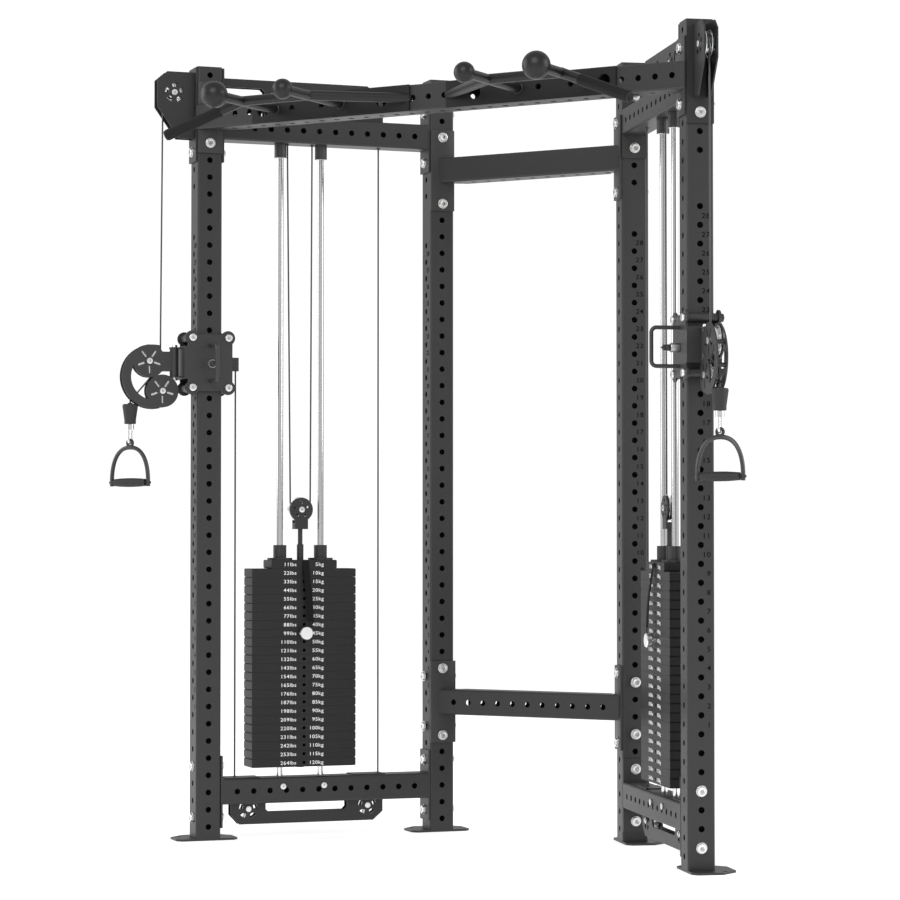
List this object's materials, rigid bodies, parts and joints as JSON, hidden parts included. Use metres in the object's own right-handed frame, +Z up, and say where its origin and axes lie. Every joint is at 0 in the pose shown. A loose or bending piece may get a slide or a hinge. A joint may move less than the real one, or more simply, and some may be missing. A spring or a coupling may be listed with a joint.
{
  "type": "power cage",
  "caption": "Corner power cage: angled side panels with weight stacks, sliding cable trolleys on swivel arms, stirrup handles and angled pull-up bars on the front beam.",
  "frame": {"origin": "on the floor, in the middle of the footprint's bounding box", "axes": "+Z up, -Y towards the open front with the pull-up bars, +X to the right"},
  "size_m": [2.0222, 1.0802, 2.265],
  "materials": {
    "frame_paint": "satin black powder coat with a fine texture",
    "housing_paint": "satin black powder coat",
    "trolley_paint": "satin black powder coat",
    "stirrup_paint": "satin black",
    "carriage_steel": "satin black",
    "stack_iron": "matte black paint",
    "zinc_bolts": "bright zinc",
    "chrome_rods": "polished",
    "polished_steel": "polished",
    "pulley_aluminium": "turned aluminium",
    "black_knob": "black plastic on a steel pin",
    "grip_rubber": "black textured rubber",
    "stop_rubber": "black rubber",
    "cable_jacket": "black nylon-coated steel cable",
    "strap_webbing": "black webbing"
  },
  "bodies": {
    "frame": {"front_uprights": "frame_paint", "rear_uprights": "frame_paint", "front_beam": "frame_paint", "rear_crossmembers": "frame_paint", "panel_crossmembers": "frame_paint", "pull_up_bars": "frame_paint", "pull_up_grips": "grip_rubber", "pulley_housings": "housing_paint", "frame_bolts": "zinc_bolts", "guide_rods": "chrome_rods", "resting_plates": "stack_iron", "fixed_cables": "cable_jacket"},
    "left_stack": {"left_lifted_plates": "stack_iron", "left_carriage": "carriage_steel", "left_pin_strap": "strap_webbing", "left_stack_cable": "cable_jacket"},
    "left_selector": {"left_selector_pin": "polished_steel"},
    "left_travelling_pulley": {"left_travelling_pulley": "pulley_aluminium"},
    "left_corner_pulley": {"left_corner_pulley": "pulley_aluminium"},
    "left_entry_pulley": {"left_entry_pulley": "pulley_aluminium"},
    "left_inner_pulley": {"left_inner_pulley": "pulley_aluminium"},
    "left_outer_pulley": {"left_outer_pulley": "pulley_aluminium"},
    "left_low_rear_pulley": {"left_low_rear_pulley": "pulley_aluminium"},
    "left_low_front_pulley": {"left_low_front_pulley": "pulley_aluminium"},
    "left_upper_arm_pulley": {"left_upper_arm_pulley": "pulley_aluminium"},
    "left_lower_arm_pulley": {"left_lower_arm_pulley": "pulley_aluminium"},
    "left_trolley": {"left_trolley": "trolley_paint", "left_trolley_hardware": "zinc_bolts", "left_trolley_cable": "cable_jacket"},
    "left_pop_pin": {"left_pop_pin": "black_knob"},
    "left_arm": {"left_swivel_arm": "trolley_paint", "left_arm_cable": "cable_jacket"},
    "left_pull": {"left_cable_stop": "stop_rubber"},
    "left_hook": {"left_snap_hook": "polished_steel"},
    "left_stirrup": {"left_stirrup": "stirrup_paint"},
    "left_grip": {"left_stirrup_grip": "grip_rubber"},
    "right_stack": {"right_lifted_plates": "stack_iron", "right_carriage": "carriage_steel", "right_pin_strap": "strap_webbing", "right_stack_cable": "cable_jacket"},
    "right_selector": {"right_selector_pin": "polished_steel"},
    "right_travelling_pulley": {"right_travelling_pulley": "pulley_aluminium"},
    "right_corner_pulley": {"right_corner_pulley": "pulley_aluminium"},
    "right_entry_pulley": {"right_entry_pulley": "pulley_aluminium"},
    "right_inner_pulley": {"right_inner_pulley": "pulley_aluminium"},
    "right_outer_pulley": {"right_outer_pulley": "pulley_aluminium"},
    "right_low_rear_pulley": {"right_low_rear_pulley": "pulley_aluminium"},
    "right_low_front_pulley": {"right_low_front_pulley": "pulley_aluminium"},
    "right_upper_arm_pulley": {"right_upper_arm_pulley": "pulley_aluminium"},
    "right_lower_arm_pulley": {"right_lower_arm_pulley": "pulley_aluminium"},
    "right_trolley": {"right_trolley": "trolley_paint", "right_trolley_hardware": "zinc_bolts", "right_trolley_cable": "cable_jacket"},
    "right_pop_pin": {"right_pop_pin": "black_knob"},
    "right_arm": {"right_swivel_arm": "trolley_paint", "right_arm_cable": "cable_jacket"},
    "right_pull": {"right_cable_stop": "stop_rubber"},
    "right_hook": {"right_snap_hook": "polished_steel"},
    "right_stirrup": {"right_stirrup": "stirrup_paint"},
    "right_grip": {"right_stirrup_grip": "grip_rubber"}
  },
  "joints": [
    {"name": "left_stack_lift", "type": "slide", "parent": "frame", "child": "left_stack", "axis": [0, 0, 1], "range_m": [0, 0.95], "deforming": ["left_stack_cable"]},
    {"name": "left_selector_pull", "type": "slide", "parent": "left_stack", "child": "left_selector", "axis": [0.766, -0.6428, 0], "range_m": [0, 0.062], "deforming": ["left_pin_strap"]},
    {"name": "left_travelling_spin", "type": "hinge", "parent": "left_stack", "child": "left_travelling_pulley", "pos_m": [-0.60561, 0.10756, 0.9657], "axis": [-0.766, 0.6428, 0], "continuous": true},
    {"name": "left_corner_spin", "type": "hinge", "parent": "frame", "child": "left_corner_pulley", "pos_m": [-0.85791, -0.19311, 2.187], "axis": [-0.766, 0.6428, 0], "continuous": true},
    {"name": "left_entry_spin", "type": "hinge", "parent": "frame", "child": "left_entry_pulley", "pos_m": [-0.65189, 0.05241, 2.187], "axis": [-0.766, 0.6428, 0], "continuous": true},
    {"name": "left_trolley_slide", "type": "slide", "parent": "frame", "child": "left_trolley", "axis": [0, 0, 1], "range_m": [-1, 0.35], "deforming": ["left_trolley_cable"]},
    {"name": "left_inner_spin", "type": "hinge", "parent": "frame", "child": "left_inner_pulley", "pos_m": [-0.56319, 0.15812, 2.187], "axis": [-0.766, 0.6428, 0], "continuous": true},
    {"name": "left_outer_spin", "type": "hinge", "parent": "frame", "child": "left_outer_pulley", "pos_m": [-0.4687, 0.27073, 2.187], "axis": [-0.766, 0.6428, 0], "continuous": true},
    {"name": "left_low_rear_spin", "type": "hinge", "parent": "frame", "child": "left_low_rear_pulley", "pos_m": [-0.4732, 0.26537, 0.086], "axis": [-0.766, 0.6428, 0], "continuous": true},
    {"name": "left_low_front_spin", "type": "hinge", "parent": "frame", "child": "left_low_front_pulley", "pos_m": [-0.71007, -0.01692, 0.086], "axis": [-0.766, 0.6428, 0], "continuous": true},
    {"name": "left_pop_pin_slide", "type": "slide", "parent": "left_trolley", "child": "left_pop_pin", "axis": [0.766, -0.6428, 0], "range_m": [-0.008, 0.012]},
    {"name": "left_arm_swivel", "type": "hinge", "parent": "left_trolley", "child": "left_arm", "pos_m": [-0.85437, -0.1889, 1.39], "axis": [0, 0, 1], "range_deg": [-80, 80]},
    {"name": "left_upper_arm_spin", "type": "hinge", "parent": "left_arm", "child": "left_upper_arm_pulley", "pos_m": [-0.90387, -0.24788, 1.398], "axis": [-0.766, 0.6428, 0], "continuous": true},
    {"name": "left_lower_arm_spin", "type": "hinge", "parent": "left_arm", "child": "left_lower_arm_pulley", "pos_m": [-0.8788, -0.21801, 1.311], "axis": [-0.766, 0.6428, 0], "continuous": true},
    {"name": "left_handle_pull", "type": "slide", "parent": "left_arm", "child": "left_pull", "axis": [-0.6428, -0.766, 0], "range_m": [0, 1.9], "deforming": ["left_arm_cable"]},
    {"name": "left_hook_swivel", "type": "hinge", "parent": "left_pull", "child": "left_hook", "pos_m": [-0.93858, -0.28925, 1.2135], "axis": [0, 0, 1], "continuous": true},
    {"name": "left_stirrup_swing", "type": "hinge", "parent": "left_hook", "child": "left_stirrup", "pos_m": [-0.93858, -0.28925, 1.158], "axis": [0, 1, 0], "range_deg": [-45, 45]},
    {"name": "left_grip_spin", "type": "hinge", "parent": "left_stirrup", "child": "left_grip", "pos_m": [-0.93858, -0.28925, 1.043], "axis": [1, 0, 0], "continuous": true},
    {"name": "right_stack_lift", "type": "slide", "parent": "frame", "child": "right_stack", "axis": [0, 0, 1], "range_m": [0, 0.95], "deforming": ["right_stack_cable"]},
    {"name": "right_selector_pull", "type": "slide", "parent": "right_stack", "child": "right_selector", "axis": [-0.766, -0.6428, 0], "range_m": [0, 0.062], "deforming": ["right_pin_strap"]},
    {"name": "right_travelling_spin", "type": "hinge", "parent": "right_stack", "child": "right_travelling_pulley", "pos_m": [0.60561, 0.10756, 0.9657], "axis": [-0.766, -0.6428, 0], "continuous": true},
    {"name": "right_corner_spin", "type": "hinge", "parent": "frame", "child": "right_corner_pulley", "pos_m": [0.85791, -0.19311, 2.187], "axis": [-0.766, -0.6428, 0], "continuous": true},
    {"name": "right_entry_spin", "type": "hinge", "parent": "frame", "child": "right_entry_pulley", "pos_m": [0.65189, 0.05241, 2.187], "axis": [-0.766, -0.6428, 0], "continuous": true},
    {"name": "right_trolley_slide", "type": "slide", "parent": "frame", "child": "right_trolley", "axis": [0, 0, 1], "range_m": [-1, 0.35], "deforming": ["right_trolley_cable"]},
    {"name": "right_inner_spin", "type": "hinge", "parent": "frame", "child": "right_inner_pulley", "pos_m": [0.56319, 0.15812, 2.187], "axis": [-0.766, -0.6428, 0], "continuous": true},
    {"name": "right_outer_spin", "type": "hinge", "parent": "frame", "child": "right_outer_pulley", "pos_m": [0.4687, 0.27073, 2.187], "axis": [-0.766, -0.6428, 0], "continuous": true},
    {"name": "right_low_rear_spin", "type": "hinge", "parent": "frame", "child": "right_low_rear_pulley", "pos_m": [0.4732, 0.26537, 0.086], "axis": [-0.766, -0.6428, 0], "continuous": true},
    {"name": "right_low_front_spin", "type": "hinge", "parent": "frame", "child": "right_low_front_pulley", "pos_m": [0.71007, -0.01692, 0.086], "axis": [-0.766, -0.6428, 0], "continuous": true},
    {"name": "right_pop_pin_slide", "type": "slide", "parent": "right_trolley", "child": "right_pop_pin", "axis": [-0.766, -0.6428, 0], "range_m": [-0.008, 0.012]},
    {"name": "right_arm_swivel", "type": "hinge", "parent": "right_trolley", "child": "right_arm", "pos_m": [0.85437, -0.1889, 1.39], "axis": [0, 0, -1], "range_deg": [-80, 80]},
    {"name": "right_upper_arm_spin", "type": "hinge", "parent": "right_arm", "child": "right_upper_arm_pulley", "pos_m": [0.90387, -0.24788, 1.398], "axis": [-0.766, -0.6428, 0], "continuous": true},
    {"name": "right_lower_arm_spin", "type": "hinge", "parent": "right_arm", "child": "right_lower_arm_pulley", "pos_m": [0.8788, -0.21801, 1.311], "axis": [-0.766, -0.6428, 0], "continuous": true},
    {"name": "right_handle_pull", "type": "slide", "parent": "right_arm", "child": "right_pull", "axis": [0.6428, -0.766, 0], "range_m": [0, 1.9], "deforming": ["right_arm_cable"]},
    {"name": "right_hook_swivel", "type": "hinge", "parent": "right_pull", "child": "right_hook", "pos_m": [0.93858, -0.28925, 1.2135], "axis": [0, 0, 1], "continuous": true},
    {"name": "right_stirrup_swing", "type": "hinge", "parent": "right_hook", "child": "right_stirrup", "pos_m": [0.93858, -0.28925, 1.158], "axis": [0, 1, 0], "range_deg": [-45, 45]},
    {"name": "right_grip_spin", "type": "hinge", "parent": "right_stirrup", "child": "right_grip", "pos_m": [0.93858, -0.28925, 1.043], "axis": [1, 0, 0], "continuous": true}
  ],
  "couplings": [
    {"joint": "left_travelling_spin", "follows": "left_stack_lift", "rad_per_m": 32.258},
    {"joint": "left_corner_spin", "follows": "left_stack_lift", "rad_per_m": -64.516},
    {"joint": "left_entry_spin", "follows": "left_stack_lift", "rad_per_m": -64.516},
    {"joint": "left_inner_spin", "follows": "left_trolley_slide", "rad_per_m": 32.258},
    {"joint": "left_outer_spin", "follows": "left_trolley_slide", "rad_per_m": 32.258},
    {"joint": "left_low_rear_spin", "follows": "left_trolley_slide", "rad_per_m": 26.316},
    {"joint": "left_low_front_spin", "follows": "left_trolley_slide", "rad_per_m": 26.316},
    {"joint": "left_upper_arm_spin", "follows": "left_stack_lift", "rad_per_m": 55.556},
    {"joint": "left_lower_arm_spin", "follows": "left_stack_lift", "rad_per_m": -55.556},
    {"joint": "left_handle_pull", "follows": "left_stack_lift", "ratio": 2},
    {"joint": "right_travelling_spin", "follows": "right_stack_lift", "rad_per_m": 32.258},
    {"joint": "right_corner_spin", "follows": "right_stack_lift", "rad_per_m": -64.516},
    {"joint": "right_entry_spin", "follows": "right_stack_lift", "rad_per_m": -64.516},
    {"joint": "right_inner_spin", "follows": "right_trolley_slide", "rad_per_m": 32.258},
    {"joint": "right_outer_spin", "follows": "right_trolley_slide", "rad_per_m": 32.258},
    {"joint": "right_low_rear_spin", "follows": "right_trolley_slide", "rad_per_m": 26.316},
    {"joint": "right_low_front_spin", "follows": "right_trolley_slide", "rad_per_m": 26.316},
    {"joint": "right_upper_arm_spin", "follows": "right_stack_lift", "rad_per_m": 55.556},
    {"joint": "right_lower_arm_spin", "follows": "right_stack_lift", "rad_per_m": -55.556},
    {"joint": "right_handle_pull", "follows": "right_stack_lift", "ratio": 2}
  ]
}
